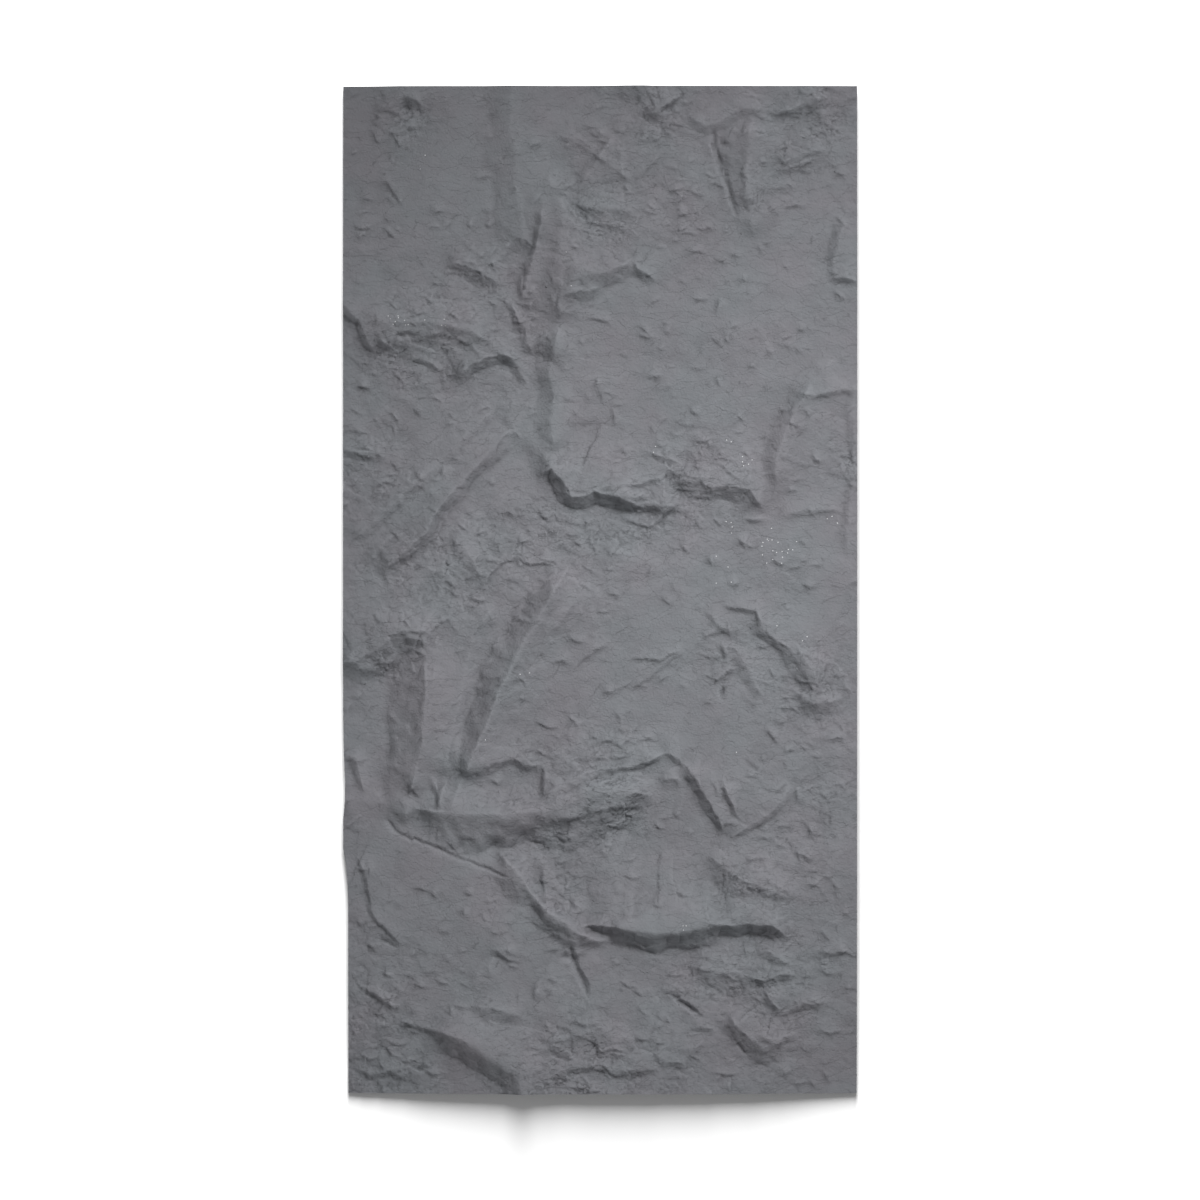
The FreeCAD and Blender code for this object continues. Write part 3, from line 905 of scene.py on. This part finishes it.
def specked(tree, place, colour):
    # White specks, partly painted glints along the crests and partly white flecks in the paint, each in
    # the middle of a small cell, more of them where the specks lie thick
    cells = cells_at(tree, place, SPECK_CELLS)
    chance = first_part(tree, cells.outputs["Color"])
    has_speck = calculated(tree, "GREATER_THAN", carried(tree, "specks"), chance)
    middle = calculated(tree, "LESS_THAN", cells.outputs["Distance"], SPECK_SHARE)
    white = tree.nodes.new("ShaderNodeMix")
    white.data_type = "RGBA"
    white.inputs["B"].default_value = (0.85, 0.86, 0.87, 1.0)
    tree.links.new(scaled(tree, has_speck, middle), white.inputs["Factor"])
    tree.links.new(colour, white.inputs["A"])
    return white.outputs["Result"]


def bumped(tree, height, depth, normal=None):
    bump = tree.nodes.new("ShaderNodeBump")
    bump.inputs["Strength"].default_value = 1.0
    bump.inputs["Distance"].default_value = depth * MM
    tree.links.new(height, bump.inputs["Height"])
    if normal is not None:
        tree.links.new(normal, bump.inputs["Normal"])
    return bump.outputs["Normal"]


def blotched_grey(tree, place):
    tint = tree.nodes.new("ShaderNodeValToRGB")
    warm, cool = tint.color_ramp.elements
    warm.position = 0.35
    warm.color = (0.218, 0.214, 0.233, 1.0)
    cool.position = 0.65
    cool.color = (0.211, 0.221, 0.237, 1.0)
    tree.links.new(mottle(tree, place, scale=14.0, detail=6.0).outputs["Fac"], tint.inputs["Fac"])
    return tint.outputs["Color"]


def paint_colour(tree, place, gentle, rough):
    # Flat patches of two sizes, painted shade for planes of different tilt; and thin dark strokes,
    # painted shade under small flake edges, finer ones where the stone is rough
    colour = blotched_grey(tree, place)
    colour = shaded(tree, colour, patches(tree, gentle, size=40.0, seed=5.0), 0.95)
    colour = shaded(tree, colour, patches(tree, gentle, size=16.0, seed=11.0), 0.96)
    colour = shaded(tree, colour, strokes(tree, gentle, size=18.0, seed=2.0), 0.75)
    fine = scaled(tree, strokes(tree, gentle, size=9.0, seed=9.0), rough)
    colour = shaded(tree, colour, fine, 0.6)
    # Painted shade in the bottoms of the steps, and a painted highlight along their edges
    painted_shade_and_highlight = carried(tree, "hollows")
    colour = shaded(tree, colour, painted_shade_and_highlight, DARKEST_PAINTED_SHADE)
    colour = shaded(tree, colour, scaled(tree, painted_shade_and_highlight, -1.0), LIGHTEST_PAINTED_HIGHLIGHT)
    return specked(tree, place, colour)


def paint_relief(tree, place, gentle, rough):
    # Flat planes everywhere, ragged splinters of two sizes where the stone is rough, and a fine grain
    ragged = wandering(tree, place, scale=120.0, reach=12.0)
    planes = splinters(tree, gentle, size=40.0, seed=21.0)
    planelets = splinters(tree, gentle, size=16.0, seed=14.0)
    large = scaled(tree, splinters(tree, ragged, size=14.0, seed=3.0), rough)
    small = scaled(tree, splinters(tree, ragged, size=6.0, seed=8.0), rough)
    grain = mottle(tree, place, scale=400.0, detail=5.0).outputs["Fac"]
    normal = bumped(tree, planes, depth=4.0)
    normal = bumped(tree, planelets, depth=1.6, normal=normal)
    normal = bumped(tree, large, depth=5.0, normal=normal)
    normal = bumped(tree, small, depth=2.0, normal=normal)
    return bumped(tree, grain, depth=0.8, normal=normal)


def foam_paint():
    material = bpy.data.materials.new("foam_paint")
    material.use_nodes = True
    tree = material.node_tree
    shader = tree.nodes["Principled BSDF"]
    shader.inputs["Roughness"].default_value = 0.72
    shader.inputs["Specular IOR Level"].default_value = 0.25
    place = tree.nodes.new("ShaderNodeTexCoord").outputs["Object"]
    gentle = wandering(tree, place, scale=45.0, reach=16.0)
    rough = carried(tree, "rough")
    tree.links.new(paint_colour(tree, place, gentle, rough), shader.inputs["Base Color"])
    tree.links.new(paint_relief(tree, place, gentle, rough), shader.inputs["Normal"])
    return material


def stone_panel():
    obj = bpy.data.objects.new("rock_panel", panel_mesh())
    bpy.context.collection.objects.link(obj)
    thin_out(obj)
    obj.data.shade_smooth()
    obj.data.materials.append(foam_paint())
    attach(obj, "root")
    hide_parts("stone_panel")
    return obj


def matt(tree, grey):
    surface = tree.nodes.new("ShaderNodeBsdfDiffuse")
    surface.inputs["Color"].default_value = (grey, grey, grey, 1.0)
    return surface.outputs["BSDF"]


def floor_paint():
    # White where it is looked at, straight, in a mirror or through glass, and greyer for the light
    # that it throws back
    material = bpy.data.materials.new("white_floor")
    material.use_nodes = True
    tree = material.node_tree
    tree.nodes.remove(tree.nodes["Principled BSDF"])
    rays = tree.nodes.new("ShaderNodeLightPath").outputs
    mirrored = calculated(tree, "MAXIMUM", rays["Is Glossy Ray"], rays["Is Transmission Ray"])
    looked_at = calculated(tree, "MAXIMUM", rays["Is Camera Ray"], mirrored)
    choose = tree.nodes.new("ShaderNodeMixShader")
    tree.links.new(looked_at, choose.inputs[0])
    tree.links.new(matt(tree, FLOOR_UNSEEN), choose.inputs[1])
    tree.links.new(matt(tree, FLOOR_SEEN), choose.inputs[2])
    tree.links.new(choose.outputs[0], tree.nodes["Material Output"].inputs["Surface"])
    return material


def floor():
    bpy.ops.mesh.primitive_plane_add(size=FLOOR_SIZE, location=(0.0, 0.0, -FLOOR_DROP))
    ground = bpy.context.active_object
    ground.name = "floor"
    ground.data.materials.append(floor_paint())
    return ground


def lamp(name, kind, power, place, target, lit, **settings):
    # A lamp that lights one object only and isn't seen itself
    light = bpy.data.lights.new(name, kind)
    light.energy = power
    for setting, value in settings.items():
        setattr(light, setting, value)
    obj = bpy.data.objects.new(name, light)
    obj.location = place
    obj.rotation_euler = (Vector(target) - Vector(place)).to_track_quat("-Z", "Y").to_euler()
    obj.visible_camera = False
    bpy.context.collection.objects.link(obj)
    receivers = bpy.data.collections.new(name + "_lights")
    receivers.objects.link(lit)
    obj.light_linking.receiver_collection = receivers


def lights(panel, ground):
    # A large soft box at the upper right, and a soft spot that is brightest right of the middle
    lamp("key", "AREA", power=325.0, place=(4.7, 6.3, 6.6), target=(0.0, 0.0, 0.0), lit=panel,
         shape="SQUARE", size=5.0)
    lamp("spot", "SPOT", power=342.0, place=(1.3, 1.9, 2.9), target=(0.08, -0.06, 0.0), lit=panel,
         spot_size=math.radians(24.4), spot_blend=1.0, shadow_soft_size=0.35)
    # The floor has its own lamp beyond the top edge, so that the shadow falls below the panel
    lamp("strip", "AREA", power=360.0, place=(0.0, 2.5, 2.7), target=(0.0, 0.0, 0.0), lit=ground,
         shape="RECTANGLE", size=1.0, size_y=4.2)
    world = bpy.data.worlds.new("room")
    world.use_nodes = True
    background = world.node_tree.nodes["Background"]
    background.inputs["Color"].default_value = (1.0, 1.0, 1.0, 1.0)
    background.inputs["Strength"].default_value = ROOM_LIGHT
    bpy.context.scene.world = world


def camera():
    data = bpy.data.cameras.new("camera")
    data.sensor_width = 36.0
    data.lens = data.sensor_width * (CAMERA_HEIGHT - TOP * MM / 2) / FRAME_WIDTH
    data.clip_end = 100.0
    eye = bpy.data.objects.new("camera", data)
    eye.location = (0.0, FRAME_CENTRE_Y, CAMERA_HEIGHT)
    bpy.context.collection.objects.link(eye)
    bpy.context.scene.camera = eye


lights(stone_panel(), floor())
camera()

bpy.context.scene.view_settings.view_transform = "Standard"
